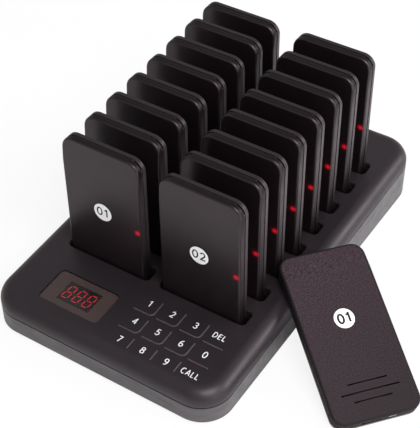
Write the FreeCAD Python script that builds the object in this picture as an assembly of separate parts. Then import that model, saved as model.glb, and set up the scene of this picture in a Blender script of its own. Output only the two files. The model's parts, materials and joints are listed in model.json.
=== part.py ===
import FreeCAD, Part
import math
import os

# Guest pager system: a wedge-shaped charging base and keypad transmitter, two columns of docked
# pagers standing in it, and one more pager lying against its right-hand rim.
# Millimetres, +X right, +Y to the back, +Z up. The origin is on the counter, at the middle of the
# base's plan.

V = FreeCAD.Vector

# ---- slot field -------------------------------------------------------------------------------
ROWS = 8
ROW_GAP = 10.3              # deck between one slot and the next behind it
COLUMN_GAP = 7.8            # deck between the two columns of slots
SLOT_SIDE_CLEAR = 2.95      # slot beyond each side of a pager
SLOT_FRONT_CLEAR = 0.6      # slot's front wall to the docked pager's face
SLOT_BACK_CLEAR = 2.2
SLOT_CORNER = 1.8           # cut across each slot's corners
SLOT_MOUTH = 0.7            # chamfer round each slot's mouth
FIELD_SHIFT_X = 1.1         # the slot field lies this far right of the base's middle

# ---- base housing -----------------------------------------------------------------------------
REAR_MARGIN = 37.0          # from the last slot to the back of the base
CORNER_R = 20.0
DECK_ANGLE = 2.63           # the deck and the parting line rise to the back
FRONT_SEAM_H = 14.9         # parting line above the counter, at the front
TOP_SHELL_H = 10.6          # parting line to deck
DECK_ROUND = 8.8            # round of the deck's rim
WALL = 2.2
DECK_T = 2.4
FLOOR_T = 1.8
BOTTOM_EDGE = 1.2           # chamfer round the underside
SHADOW_GAP_H = 0.8
SHADOW_GAP_D = 1.5

# ---- feet and fasteners -----------------------------------------------------------------------
FOOT_R = 6.0
FOOT_H = 1.2
FOOT_INSET = 19.0           # foot centre to the side of the base
POST_W = 8.4                # square post round a case screw
POST_INSET_X = 8.5          # case screw axis to the side of the base
POST_INSET_Y = 14.5         # case screw axis to the front or back of the base
POST_GAP = 1.95             # middle post to the tray beside it
SCREW_SIDES = 12            # flats on the small screws, their holes and bosses
SCREW_R = 1.5
SCREW_HEAD_R = 2.8
SCREW_HEAD_H = 1.8
SCREW_GRIP = 6.0            # head seat to parting line
SCREW_BITE = 6.0            # thread in the upper post
SCREW_HOLE_CLEAR = 0.08
SCREW_HEAD_CLEAR = 0.3

# ---- boards and trays in the base -------------------------------------------------------------
BOARD_T = 1.4
BOARD_MARGIN = 1.0          # charging board beyond its tray
RIB_W = 3.0
RIB_MIN_H = 1.1             # board support rib at its lowest, above the floor
TRAY_WALL = 1.2
TRAY_CLEAR = 0.25           # tray pocket outside the slot
CONTACT_PITCH = 16.0
CONTACT_W = 2.4
CONTACT_D = 3.0
CONTACT_GAP = 0.3           # contact tip to pager
MAIN_BOARD_SIDE_GAP = 2.8   # main board to the posts beside it
MAIN_BOARD_BACK_GAP = 4.65  # main board to the charging boards
MAIN_BOARD_FRONT = 5.2      # from the front of the base
STAND_W = 6.0               # square stand under a board screw
STAND_INSET = 5.0
BOARD_SCREW_R = 1.25
BOARD_SCREW_L = 6.0
BOARD_SCREW_HEAD_R = 2.4
BOARD_SCREW_HEAD_H = 1.5
TOUCH_BOARD_OVER_LEFT = 6.5     # touch board beyond the middles of the outer keys
TOUCH_BOARD_OVER_RIGHT = 6.6
TOUCH_BOARD_OVER_FRONT = 5.4
TOUCH_BOARD_OVER_BACK = 6.4
ANTENNA_W = 44.0
ANTENNA_L = 6.0
ANTENNA_T = 1.0
BUZZER_W = 9.0
BUZZER_H = 4.0

# ---- display ----------------------------------------------------------------------------------
WINDOW_W = 43.5
WINDOW_L = 25.5
WINDOW_T = 1.2
WINDOW_SUNK = 0.15
WINDOW_CORNER = 3.0
WINDOW_CLEAR = 0.1
WINDOW_X = -31.4
WINDOW_FRONT = 27.5         # window centre from the front of the base
MODULE_W = 23.6
MODULE_L = 15.5
MODULE_CLEAR = 0.4
MODULE_GAP = 0.2            # display face to window

# ---- touch keypad -----------------------------------------------------------------------------
KEY_X = 9.1                 # first column of keys
KEY_FRONT = 13.0            # first row of keys, from the front of the base
KEY_BACK = 14.1             # last row of keys to the first slot
KEY_PITCH_X = 16.3
KEY_PITCH_Y = 15.6
KEY_COLUMNS = 4             # three digits and a function key in each of the rows
KEY_ROWS = 3
RIDGE_W = 0.8
RIDGE_H = 0.45
RIDGE_CORNER = 3.0
RIDGE_X = 6.7               # key's middle to its ridges
RIDGE_Y = 7.8
RIDGE_BACK = 4.0            # key's middle to the back end of its ridge

# ---- rear connections -------------------------------------------------------------------------
INLET_X = -42.0
INLET_W = 9.0
INLET_D = 14.0
INLET_H = 11.0
INLET_AXIS_H = 6.5          # bore axis above the inlet's base
INLET_BORE_R = 2.75
INLET_BORE_D = 9.0
INLET_PIN_R = 1.0
INLET_HOLE_R = 4.0
SWITCH_X = 40.0
SWITCH_Z = 13.6
SWITCH_BEZEL_W = 21.0
SWITCH_BEZEL_H = 15.0
SWITCH_BEZEL_T = 1.8
SWITCH_LIP = 1.2            # bezel beyond the body behind it
SWITCH_BODY_D = 12.0
SWITCH_WALL = 1.7           # above and below the rocker's well
SWITCH_CUT_CLEAR = 0.2
ROCKER_HALF = 6.8
ROCKER_TIP = 2.6
ROCKER_DIP = 1.4
ROCKER_SIDE_CLEAR = 0.3
ROCKER_END_CLEAR = 0.4
ROCKER_TILT = 8.0           # each way from level; stored pressed to one side
PIVOT_DEPTH = 1.2           # pivot axis behind the bezel's face
PIVOT_R = 1.0
PIVOT_CLEAR = 0.06

# ---- pager ------------------------------------------------------------------------------------
PAGER_W = 54.5
PAGER_H = 109.0
PAGER_T = 8.4
PAGER_CORNER = 8.0
BACK_SHELL_T = 2.7
GROOVE_W = 0.8
GROOVE_D = 0.5
FACE_EDGE = 0.8             # chamfer round the face
CREASE_DROP = 17.0          # crease line below the top
CREASE_FALL = 1.3           # how far the face falls back at the top
SEAT_GAP = 0.8              # docked pager above its charging board
SIDE_SEAT = -0.4            # docked pager's middle from the slot's middle

# ---- inside the loose pager -------------------------------------------------------------------
PAGER_WALL = 1.6
PAGER_BACK_WALL = 1.3
PAGER_FACE_WALL = 2.4
TONGUE_T = 1.0              # tongue between the groove and the hollow, beyond the wall
CELL_CLEAR = 0.3
PAGER_BOARD_T = 0.8
PAGER_BOARD_Z = 3.0
BATTERY_W = 40.0
BATTERY_L = 32.0
BATTERY_CORNER = 1.5
BATTERY_GAP = 1.5           # battery to the board below it
BATTERY_END = 8.7           # free room above the battery
SPEAKER_R = 9.0
SPEAKER_Z = 17.2            # speaker centre above the pager's bottom
MOTOR_R = 5.0
MOTOR_INSET_X = 12.25       # motor's middle to the pager's side
MOTOR_INSET_Z = 13.4        # motor's middle to the board's upper end
PIPE_W = 2.4
PIPE_H = 7.0
PIPE_INSET_X = 4.65         # light pipe's middle to the pager's side
PIPE_INSET_Z = 5.4          # light pipe's middle to the board's upper end
PAD_W = 5.0
PAD_T = 2.4
SOUND_SLOTS = ((22.8, 24.4), (17.2, 36.0), (11.9, 23.5))    # height, length
SOUND_SLOT_W = 0.9
PAGER_SCREW_R = 0.8
PAGER_SCREW_HEAD_R = 1.6
PAGER_SCREW_HEAD_H = 0.7
PAGER_SCREW_L = 3.4
PAGER_BOSS_R = 2.4
PAGER_SCREW_INSET = 6.5

# ---- where the loose pager lies ---------------------------------------------------------------
LOOSE_TURN = 40.0           # the way its upper end points, from -X towards +Y
LOOSE_CORNER_FRONT = 104.5  # its upper left corner's round, from the front of the base
LOOSE_SIDE_GAP = 0.3        # that corner, clear of the docked pagers
REST_GAP = 0.3              # its back, clear of the rim that it lies against

# ---- worked out -------------------------------------------------------------------------------
SLOPE = math.tan(math.radians(DECK_ANGLE))
COS = math.cos(math.radians(DECK_ANGLE))
SLOT_W = PAGER_W + 2 * SLOT_SIDE_CLEAR
SLOT_T = SLOT_FRONT_CLEAR + PAGER_T + SLOT_BACK_CLEAR
ROW_PITCH = SLOT_T + ROW_GAP
COLUMN_PITCH = SLOT_W + COLUMN_GAP
TRAY_SIDE = TRAY_CLEAR + TRAY_WALL              # tray beyond its slots
SIDE_MARGIN = FIELD_SHIFT_X + TRAY_SIDE + POST_GAP + POST_W / 2 + POST_INSET_X
KEYPAD_ZONE = KEY_FRONT + (KEY_ROWS - 1) * KEY_PITCH_Y + KEY_BACK
BASE_W = COLUMN_PITCH + SLOT_W + 2 * SIDE_MARGIN
BASE_L = KEYPAD_ZONE + (ROWS - 1) * ROW_PITCH + SLOT_T + REAR_MARGIN
FRONT_Y = -BASE_L / 2
BACK_Y = BASE_L / 2
SEAM_Z = FRONT_SEAM_H - SLOPE * FRONT_Y         # heights at the base's middle
DECK_Z = SEAM_Z + TOP_SHELL_H
CEILING_Z = DECK_Z - DECK_T
FLOOR_Z = FOOT_H + FLOOR_T
COLUMNS = (FIELD_SHIFT_X - COLUMN_PITCH / 2, FIELD_SHIFT_X + COLUMN_PITCH / 2)
FIRST_ROW_Y = FRONT_Y + KEYPAD_ZONE + SLOT_T / 2
ROW_YS = [FIRST_ROW_Y + ROW_PITCH * i for i in range(ROWS)]
TRAY_W = SLOT_W + 2 * TRAY_SIDE
TRAY_L = (ROWS - 1) * ROW_PITCH + SLOT_T + 2 * TRAY_SIDE
FIELD_MID_Y = FIRST_ROW_Y + (ROWS - 1) * ROW_PITCH / 2
BOARD_FRONT_Y = FIELD_MID_Y - TRAY_L / 2 - BOARD_MARGIN
BOARD_LOW = FLOOR_Z + RIB_MIN_H - SLOPE * BOARD_FRONT_Y
BOARD_HIGH = BOARD_LOW + BOARD_T
POSTS = [
    (sx * (BASE_W / 2 - POST_INSET_X), y)
    for sx in (-1, 1)
    for y in (FRONT_Y + POST_INSET_Y, 0.0, BACK_Y - POST_INSET_Y)
]
MAIN_BOARD_W = BASE_W - 2 * (POST_INSET_X + POST_W / 2 + MAIN_BOARD_SIDE_GAP)
MAIN_BOARD_L = BOARD_FRONT_Y - FRONT_Y - MAIN_BOARD_FRONT - MAIN_BOARD_BACK_GAP
MAIN_BOARD_Y = FRONT_Y + MAIN_BOARD_FRONT + MAIN_BOARD_L / 2
STANDS = [
    (sx * (MAIN_BOARD_W / 2 - STAND_INSET), MAIN_BOARD_Y + sy * (MAIN_BOARD_L / 2 - STAND_INSET))
    for sx in (-1, 1)
    for sy in (-1, 1)
]
WINDOW_Y = FRONT_Y + WINDOW_FRONT
KEYPAD_W = (KEY_COLUMNS - 1) * KEY_PITCH_X
TOUCH_BOARD_W = TOUCH_BOARD_OVER_LEFT + KEYPAD_W + TOUCH_BOARD_OVER_RIGHT
TOUCH_BOARD_X = KEY_X - TOUCH_BOARD_OVER_LEFT + TOUCH_BOARD_W / 2
TOUCH_BOARD_L = (KEY_ROWS - 1) * KEY_PITCH_Y + TOUCH_BOARD_OVER_FRONT + TOUCH_BOARD_OVER_BACK
SWITCH_BODY_W = SWITCH_BEZEL_W - 2 * SWITCH_LIP
SWITCH_BODY_H = SWITCH_BEZEL_H - 2 * SWITCH_LIP
ROCKER_W = SWITCH_BODY_H - 2 * SWITCH_WALL - 2 * ROCKER_SIDE_CLEAR
PIVOT_Y = BACK_Y + SWITCH_BEZEL_T - PIVOT_DEPTH
FRONT_SHELL_Z = BACK_SHELL_T + GROOVE_W
CELL_INSET = GROOVE_D + PAGER_WALL + TONGUE_T + CELL_CLEAR
PAGER_BOARD_L = PAGER_H - 2 * CELL_INSET - BATTERY_GAP - BATTERY_L - BATTERY_END
PAGER_BOARD_END = CELL_INSET + PAGER_BOARD_L
MOTOR_X = MOTOR_INSET_X - PAGER_W / 2
MOTOR_Z = PAGER_BOARD_END - MOTOR_INSET_Z
PIPE_X = PAGER_W / 2 - PIPE_INSET_X
PIPE_Z = PAGER_BOARD_END - PIPE_INSET_Z
PAGER_SCREWS = [(sx * (PAGER_W / 2 - PAGER_SCREW_INSET), PAGER_SCREW_INSET) for sx in (-1, 1)]


def save(shape, name):
    shape.exportStep("parts/%s.step" % name)


def along(edge, axis):
    """Is the edge a straight one that runs along the axis?"""
    if not isinstance(edge.Curve, Part.Line):
        return False
    return abs(edge.tangentAt(edge.FirstParameter).dot(axis)) > 0.999


def plate(w, l, h, r, x, y, z):
    """Block with rounded upright corners, centred on x, y and standing on z."""
    block = Part.makeBox(w, l, h, V(x - w / 2, y - l / 2, z))
    if r <= 0:
        return block
    return block.makeFillet(r, [e for e in block.Edges if along(e, V(0, 0, 1))])


def cut_corners(w, l, c, x, y, h):
    """Upright prism, centred on x, y, with its four corners cut across."""
    w = w / 2
    l = l / 2
    pts = [
        (c - w, -l), (w - c, -l), (w, c - l), (w, l - c),
        (w - c, l), (c - w, l), (-w, l - c), (-w, c - l),
    ]
    return prism([(x + a, y + b) for a, b in pts], 0, h)


def prism(outline, low, h):
    pts = [V(x, y, low) for x, y in outline]
    return Part.Face(Part.makePolygon(pts + pts[:1])).extrude(V(0, 0, h))


def rod(r, h, x, y, low):
    """Small upright screw, hole or boss."""
    turns = [2 * math.pi * i / SCREW_SIDES for i in range(SCREW_SIDES)]
    return prism([(x + r * math.cos(a), y + r * math.sin(a)) for a in turns], low, h)


def slab(low, high):
    """Everything between two planes parallel to the deck; the heights are at the base's middle."""
    size = 4 * max(BASE_W, BASE_L)
    block = Part.makeBox(size, size, (high - low) * COS, V(-size / 2, -size / 2, 0))
    block.rotate(V(0, 0, 0), V(1, 0, 0), DECK_ANGLE)
    block.translate(V(0, 0, low))
    return block


def on_plane(face, height):
    """Does the face lie in the plane parallel to the deck at this height?"""
    c = face.CenterOfMass
    n = face.normalAt(0, 0)
    if abs(abs(n.z) - COS) > 1e-3:
        return False
    return abs(c.z - height - SLOPE * c.y) < 1e-3


def union(shapes):
    first = shapes[0]
    return first.fuse(shapes[1:]) if len(shapes) > 1 else first


def base_outline(inset, low, high):
    """Upright prism of the base's outline, moved in by an inset."""
    return plate(BASE_W - 2 * inset, BASE_L - 2 * inset, high - low, CORNER_R - inset, 0, 0, low)


def deck_block(inset, low, high):
    """Rounded block square to the deck; its heights are measured up from the parting line."""
    return plate(BASE_W - 2 * inset, BASE_L / COS - 2 * inset, (high - low) * COS,
                 CORNER_R - inset, 0, 0, low * COS)


def onto_parting(shape):
    """Tilt a shape drawn square to the deck and set it on the parting line."""
    shape.rotate(V(0, 0, 0), V(1, 0, 0), DECK_ANGLE)
    shape.translate(V(0, 0, SEAM_Z))
    return shape


def top_edges(shape, height):
    face = [f for f in shape.Faces if abs(f.CenterOfMass.z - height) < 1e-3][0]
    return face.Edges


def slot_places():
    for x in COLUMNS:
        for y in ROW_YS:
            yield x, y


# ---- base housing -----------------------------------------------------------------------------
def deck_hollow(side, top):
    """The room inside the top shell, by its distance from the side and from the deck."""
    block = deck_block(side, -WALL, TOP_SHELL_H - top)
    return block.makeChamfer((DECK_ROUND - side) * (2 - math.sqrt(2)),
                             top_edges(block, (TOP_SHELL_H - top) * COS))


def top_shell():
    tall = DECK_Z + BASE_L
    outer = deck_block(0, 0, TOP_SHELL_H)
    outer = outer.makeFillet(DECK_ROUND, top_edges(outer, TOP_SHELL_H * COS))
    shell = onto_parting(outer.cut(deck_hollow(WALL, DECK_T)))

    inside_wall = onto_parting(deck_hollow(WALL / 2, DECK_T / 2)).common(slab(SEAM_Z, DECK_Z))
    posts = [plate(POST_W, POST_W, tall, 0, x, y, 0).common(inside_wall) for x, y in POSTS]
    shell = union([shell] + posts + key_ridges())

    hole_r = SCREW_R + SCREW_HOLE_CLEAR
    cuts = []
    for x, y in POSTS:
        seam = SEAM_Z + SLOPE * y
        cuts.append(rod(hole_r, SCREW_BITE + 0.5 + WALL, x, y, seam - WALL))
    for x, y in slot_places():
        cuts.append(cut_corners(SLOT_W, SLOT_T, SLOT_CORNER, x, y, tall))
    lens = plate(WINDOW_W + 2 * WINDOW_CLEAR, WINDOW_L + 2 * WINDOW_CLEAR, tall,
                 WINDOW_CORNER + WINDOW_CLEAR, WINDOW_X, WINDOW_Y, 0)
    cuts.append(lens.common(slab(DECK_Z - WINDOW_SUNK - WINDOW_T, DECK_Z + WALL)))
    cuts.append(plate(MODULE_W + 2 * MODULE_CLEAR, MODULE_L + 2 * MODULE_CLEAR, tall, 0,
                      WINDOW_X, WINDOW_Y, 0))
    shell = shell.cut(cuts)

    deck = max((f for f in shell.Faces if on_plane(f, DECK_Z)), key=lambda f: f.Area)
    mouths = []
    for wire in deck.Wires:
        box = wire.BoundBox
        if abs(box.XLength - SLOT_W) < 0.01:
            mouths += wire.Edges
    return shell.makeChamfer(SLOT_MOUTH, mouths)


def key_ridges():
    """Ridges between the touch keys: round the front right corner of each digit key, and straight
    ones beside the keys of the front row and under the function keys."""
    tall = DECK_Z + BASE_L
    big = KEY_COLUMNS * KEY_PITCH_X
    ridges = []
    for row in range(KEY_ROWS):
        for column in range(KEY_COLUMNS):
            x = KEY_X + KEY_PITCH_X * column
            y = FRONT_Y + KEY_FRONT + KEY_PITCH_Y * row
            if row > 0 and column < KEY_COLUMNS - 1:
                mid_x = x + RIDGE_X - big / 2
                mid_y = y - RIDGE_Y + big / 2
                ring = plate(big + RIDGE_W, big + RIDGE_W, tall, RIDGE_CORNER + RIDGE_W / 2,
                             mid_x, mid_y, 0)
                ring = ring.cut(plate(big - RIDGE_W, big - RIDGE_W, tall,
                                      RIDGE_CORNER - RIDGE_W / 2, mid_x, mid_y, 0))
                corner = Part.makeBox(2 * RIDGE_X + RIDGE_W / 2, RIDGE_Y + RIDGE_W / 2 + RIDGE_BACK,
                                      tall, V(x - RIDGE_X, y - RIDGE_Y - RIDGE_W / 2, 0))
                ridges.append(ring.common(corner))
            elif row > 0:
                ridges.append(plate(2 * RIDGE_X, RIDGE_W, tall, 0, x, y - RIDGE_Y, 0))
            elif column < KEY_COLUMNS - 1:
                ridge_x = x + RIDGE_X + RIDGE_W
                ridges.append(plate(RIDGE_W, 2 * RIDGE_BACK, tall, 0, ridge_x, y, 0))
    band = slab(DECK_Z - DECK_T / 2, DECK_Z + RIDGE_H)
    return [ridge.common(band) for ridge in ridges]


def bottom_shell():
    tall = SEAM_Z + BASE_L
    outer = base_outline(0, FOOT_H, tall)
    foot_face = [f for f in outer.Faces if abs(f.CenterOfMass.z - FOOT_H) < 1e-3][0]
    outer = outer.makeChamfer(BOTTOM_EDGE, foot_face.Edges)
    outer = outer.common(slab(SEAM_Z - BASE_L, SEAM_Z))
    gap = slab(SEAM_Z - SHADOW_GAP_H, SEAM_Z + WALL)
    ring = base_outline(-WALL, 0, tall).cut(base_outline(SHADOW_GAP_D, -1, tall + 1))
    shell = outer.cut(ring.common(gap)).cut(base_outline(WALL, FLOOR_Z, tall))

    below_seam = slab(SEAM_Z - BASE_L, SEAM_Z)
    added = []
    for x, y in POSTS:
        post = plate(POST_W, POST_W, tall, 0, x, y, FLOOR_Z - FLOOR_T / 2)
        added.append(post.common(below_seam))
    under_main = slab(SEAM_Z - BASE_L, SEAM_Z - BOARD_T)
    for x, y in STANDS:
        added.append(plate(STAND_W, STAND_W, tall, 0, x, y, FLOOR_Z - FLOOR_T / 2).common(under_main))
    under_charger = slab(BOARD_LOW - BASE_L, BOARD_LOW)
    for x in COLUMNS:
        for side in (-1, 1):
            rib_x = x + side * (TRAY_W / 2 - RIB_W / 2)
            rib = plate(RIB_W, TRAY_L, tall, 0, rib_x, FIELD_MID_Y, FLOOR_Z - FLOOR_T / 2)
            added.append(rib.common(under_charger))
    shell = union([shell] + added)

    cuts = []
    for x, y in POSTS:
        seam = SEAM_Z + SLOPE * y
        seat = seam - SCREW_GRIP
        cuts.append(rod(SCREW_HEAD_R + SCREW_HEAD_CLEAR, seat, x, y, 0))
        cuts.append(rod(SCREW_R + SCREW_HOLE_CLEAR, tall, x, y, 0))
    for x, y in STANDS:
        top = SEAM_Z - BOARD_T + SLOPE * y
        cuts.append(rod(BOARD_SCREW_R + SCREW_HOLE_CLEAR, tall, x, y, top - BOARD_SCREW_L))
    bore_z = FLOOR_Z + INLET_AXIS_H
    cuts.append(Part.makeCylinder(INLET_HOLE_R, 3 * WALL, V(INLET_X, BACK_Y - 2 * WALL, bore_z),
                                  V(0, 1, 0)))
    cut_w = SWITCH_BODY_W + 2 * SWITCH_CUT_CLEAR
    cut_h = SWITCH_BODY_H + 2 * SWITCH_CUT_CLEAR
    cuts.append(Part.makeBox(cut_w, 3 * WALL, cut_h,
                             V(SWITCH_X - cut_w / 2, BACK_Y - 2 * WALL, SWITCH_Z - cut_h / 2)))
    return shell.cut(cuts)


def rubber_feet():
    places = [
        (sx * (BASE_W / 2 - FOOT_INSET), sy * (BASE_L / 2 - FOOT_INSET))
        for sx in (-1, 1)
        for sy in (-1, 1)
    ]
    feet = [Part.makeCylinder(FOOT_R, FOOT_H, V(x, y, 0)) for x, y in places + [(0, 0)]]
    return Part.makeCompound(feet)


def headed_screw(r, length, head_r, head_h):
    """Screw standing on its head's underside at z = 0, thread up."""
    head = rod(head_r, head_h, 0, 0, -head_h)
    return head.fuse(rod(r, length + head_h / 2, 0, 0, -head_h / 2)).removeSplitter()


def case_screws():
    screws = []
    for x, y in POSTS:
        screw = headed_screw(SCREW_R, SCREW_GRIP + SCREW_BITE, SCREW_HEAD_R, SCREW_HEAD_H)
        screw.translate(V(x, y, SEAM_Z + SLOPE * y - SCREW_GRIP))
        screws.append(screw)
    return Part.makeCompound(screws)


# ---- display and electronics in the base ------------------------------------------------------
def display_window():
    lens = plate(WINDOW_W, WINDOW_L, DECK_Z + BASE_L, WINDOW_CORNER, WINDOW_X, WINDOW_Y, 0)
    top = DECK_Z - WINDOW_SUNK
    return lens.common(slab(top - WINDOW_T, top))


def display_module():
    block = plate(MODULE_W, MODULE_L, DECK_Z + BASE_L, 0, WINDOW_X, WINDOW_Y, 0)
    return block.common(slab(SEAM_Z, DECK_Z - WINDOW_SUNK - WINDOW_T - MODULE_GAP))


def main_board():
    board = plate(MAIN_BOARD_W, MAIN_BOARD_L, DECK_Z + BASE_L, 0, 0, MAIN_BOARD_Y, 0)
    board = board.common(slab(SEAM_Z - BOARD_T, SEAM_Z))
    hole_r = BOARD_SCREW_R + SCREW_HOLE_CLEAR
    return board.cut([rod(hole_r, DECK_Z + BASE_L, x, y, 0) for x, y in STANDS])


def board_screws():
    screws = []
    for x, y in STANDS:
        screw = headed_screw(BOARD_SCREW_R, BOARD_SCREW_L, BOARD_SCREW_HEAD_R, BOARD_SCREW_HEAD_H)
        screw.rotate(V(0, 0, 0), V(1, 0, 0), 180)
        screw.translate(V(x, y, SEAM_Z + SLOPE * (y + BOARD_SCREW_HEAD_R)))
        screws.append(screw)
    return Part.makeCompound(screws)


def touch_sensor_board():
    y = FRONT_Y + KEY_FRONT - TOUCH_BOARD_OVER_FRONT + TOUCH_BOARD_L / 2
    board = plate(TOUCH_BOARD_W, TOUCH_BOARD_L, DECK_Z + BASE_L, 0, TOUCH_BOARD_X, y, 0)
    return board.common(slab(CEILING_Z - BOARD_T, CEILING_Z))


def antenna():
    y = MAIN_BOARD_Y - MAIN_BOARD_L / 2 + ANTENNA_L
    strip = plate(ANTENNA_W, ANTENNA_L, DECK_Z + BASE_L, 0, WINDOW_X, y, 0)
    return strip.common(slab(SEAM_Z, SEAM_Z + ANTENNA_T))


def buzzer():
    block = plate(BUZZER_W, BUZZER_W, DECK_Z + BASE_L, 0, 0, MAIN_BOARD_Y, 0)
    return block.common(slab(SEAM_Z, SEAM_Z + BUZZER_H))


def charging_board(x):
    board = plate(TRAY_W, TRAY_L + 2 * BOARD_MARGIN, DECK_Z + BASE_L, 0, x, FIELD_MID_Y, 0)
    return board.common(slab(BOARD_LOW, BOARD_HIGH))


def pocket_tray(x):
    """Guide tray: one upright pocket under each slot, cored between the pockets from below."""
    tall = DECK_Z + BASE_L
    block = plate(TRAY_W, TRAY_L, tall, 0, x, FIELD_MID_Y, 0)
    block = block.common(slab(BOARD_HIGH, CEILING_Z))
    pocket_w = SLOT_W + 2 * TRAY_CLEAR
    pocket_l = SLOT_T + 2 * TRAY_CLEAR
    core_l = ROW_PITCH - pocket_l - 2 * TRAY_WALL
    below = slab(BOARD_LOW, CEILING_Z - TRAY_WALL)
    cuts = [plate(pocket_w, pocket_l, tall, 0, x, y, 0) for y in ROW_YS]
    if core_l > 0:
        for y in ROW_YS[:-1]:
            cuts.append(plate(pocket_w, core_l, tall, 0, x, y + ROW_PITCH / 2, 0).common(below))
    return block.cut(cuts)


def charging_contacts():
    """Two upright contact blades under each docked pager, standing on the charging boards."""
    above = slab(BOARD_HIGH, BOARD_HIGH + BASE_L)
    blades = []
    for x, y in slot_places():
        for side in (-1, 1):
            blade_x = x + SIDE_SEAT + side * CONTACT_PITCH / 2
            top = seat_z(y) - CONTACT_GAP
            blade = plate(CONTACT_W, CONTACT_D, top, 0, blade_x, pager_mid_y(y), 0)
            blades.append(blade.common(above))
    return Part.makeCompound(blades)


def dc_inlet():
    """Power inlet with a stepped bore and a centre pin, seated on the floor behind the rear wall."""
    face_y = BACK_Y - WALL
    body = Part.makeBox(INLET_W, INLET_D, INLET_H, V(INLET_X - INLET_W / 2, face_y - INLET_D, FLOOR_Z))
    mouth = V(INLET_X, face_y + 1, FLOOR_Z + INLET_AXIS_H)
    body = body.cut(Part.makeCylinder(INLET_BORE_R, INLET_BORE_D + 1, mouth, V(0, -1, 0)))
    pin_root = V(INLET_X, face_y - INLET_BORE_D - 1, FLOOR_Z + INLET_AXIS_H)
    return body.fuse(Part.makeCylinder(INLET_PIN_R, INLET_BORE_D, pin_root, V(0, 1, 0)))


def switch_housing():
    bezel = Part.makeBox(SWITCH_BEZEL_W, SWITCH_BEZEL_T, SWITCH_BEZEL_H,
                         V(SWITCH_X - SWITCH_BEZEL_W / 2, BACK_Y, SWITCH_Z - SWITCH_BEZEL_H / 2))
    outer_rim = [e for e in bezel.Edges if e.CenterOfMass.y > BACK_Y + SWITCH_BEZEL_T * 0.9]
    bezel = bezel.makeChamfer(SWITCH_BEZEL_T / 3, outer_rim)
    body = Part.makeBox(SWITCH_BODY_W, SWITCH_BODY_D, SWITCH_BODY_H,
                        V(SWITCH_X - SWITCH_BODY_W / 2, BACK_Y - SWITCH_BODY_D,
                          SWITCH_Z - SWITCH_BODY_H / 2))
    reach = math.hypot(ROCKER_HALF, ROCKER_TIP) + ROCKER_END_CLEAR
    well_w = ROCKER_W + 2 * ROCKER_SIDE_CLEAR
    well = Part.makeBox(2 * reach, reach + SWITCH_BEZEL_T, well_w,
                        V(SWITCH_X - reach, PIVOT_Y - reach, SWITCH_Z - well_w / 2))
    bore = Part.makeCylinder(PIVOT_R + PIVOT_CLEAR, well_w + 2.4,
                             V(SWITCH_X, PIVOT_Y, SWITCH_Z - well_w / 2 - 1.2))
    return bezel.fuse(body).cut([well, bore]).removeSplitter()


def switch_rocker():
    """Two-way rocker on its pivot pins, stored pressed in at its +X end."""
    h = ROCKER_HALF
    profile = (
        (-h, -1.0), (-h, ROCKER_TIP), (0, ROCKER_DIP), (h, ROCKER_TIP), (h, -1.0),
        (h / 2, -h / 2), (-h / 2, -h / 2),
    )
    pts = [V(SWITCH_X + a, PIVOT_Y + b, SWITCH_Z - ROCKER_W / 2) for a, b in profile]
    rocker = Part.Face(Part.makePolygon(pts + pts[:1])).extrude(V(0, 0, ROCKER_W))
    pin_l = ROCKER_W + 2 * ROCKER_SIDE_CLEAR + 1.6
    pin = Part.makeCylinder(PIVOT_R, pin_l, V(SWITCH_X, PIVOT_Y, SWITCH_Z - pin_l / 2))
    rocker = rocker.fuse(pin).removeSplitter()
    rocker.rotate(V(SWITCH_X, PIVOT_Y, SWITCH_Z), V(0, 0, 1), -ROCKER_TILT)
    return rocker


# ---- pagers -----------------------------------------------------------------------------------
# A pager is drawn lying on its back: x across, y up its length, z from its back to its face.
def pager_outline(inset, low, high):
    return plate(PAGER_W - 2 * inset, PAGER_H - 2 * inset, high - low, PAGER_CORNER - inset,
                 0, PAGER_H / 2, low)


def pager_front():
    """Front shell: flat face with a crease near the top, above which it falls back."""
    shell = pager_outline(0, FRONT_SHELL_Z, PAGER_T)
    crease_y = PAGER_H - CREASE_DROP
    over = CREASE_DROP / 2
    fall = CREASE_FALL * (CREASE_DROP + over) / CREASE_DROP
    wedge = (
        V(-PAGER_W, crease_y, PAGER_T),
        V(-PAGER_W, PAGER_H + over, PAGER_T - fall),
        V(-PAGER_W, PAGER_H + over, PAGER_T + fall),
        V(-PAGER_W, crease_y, PAGER_T + fall),
    )
    shell = shell.cut(Part.Face(Part.makePolygon(wedge + wedge[:1])).extrude(V(2 * PAGER_W, 0, 0)))
    faces = [f for f in shell.Faces if f.normalAt(0, 0).z > 0.9]
    rim = []
    for face in faces:
        others = [f for f in faces if not f.isSame(face)]
        for edge in face.Edges:
            if not any(edge.isSame(e) for f in others for e in f.Edges):
                rim.append(edge)
    return shell.makeChamfer(FACE_EDGE, rim)


def pager_back():
    """Back shell with the tongue that leaves the groove between the shells."""
    shell = pager_outline(0, 0, BACK_SHELL_T)
    return shell.fuse(pager_core(GROOVE_D, BACK_SHELL_T / 2, FRONT_SHELL_Z)).removeSplitter()


def pager_core(inset, low, high):
    """Eight-sided prism inside the rounded outline."""
    w = PAGER_W / 2 - inset
    l = PAGER_H - inset
    c = PAGER_CORNER * 0.75
    pts = [
        (-w + c, inset), (w - c, inset), (w, inset + c), (w, l - c),
        (w - c, l), (-w + c, l), (-w, l - c), (-w, inset + c),
    ]
    return prism(pts, low, high - low)


def place_pager(shape, origin, across, up):
    """Move a pager drawn on its back to a lower-edge origin with the given directions."""
    out = across.cross(up)
    m = FreeCAD.Matrix(
        across.x, up.x, out.x, origin.x,
        across.y, up.y, out.y, origin.y,
        across.z, up.z, out.z, origin.z,
        0, 0, 0, 1,
    )
    moved = shape.copy()
    moved.Placement = FreeCAD.Placement(m)
    return moved


def pager_back_y(slot_y):
    return slot_y - SLOT_T / 2 + SLOT_FRONT_CLEAR + PAGER_T


def pager_mid_y(slot_y):
    return pager_back_y(slot_y) - PAGER_T / 2


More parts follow.
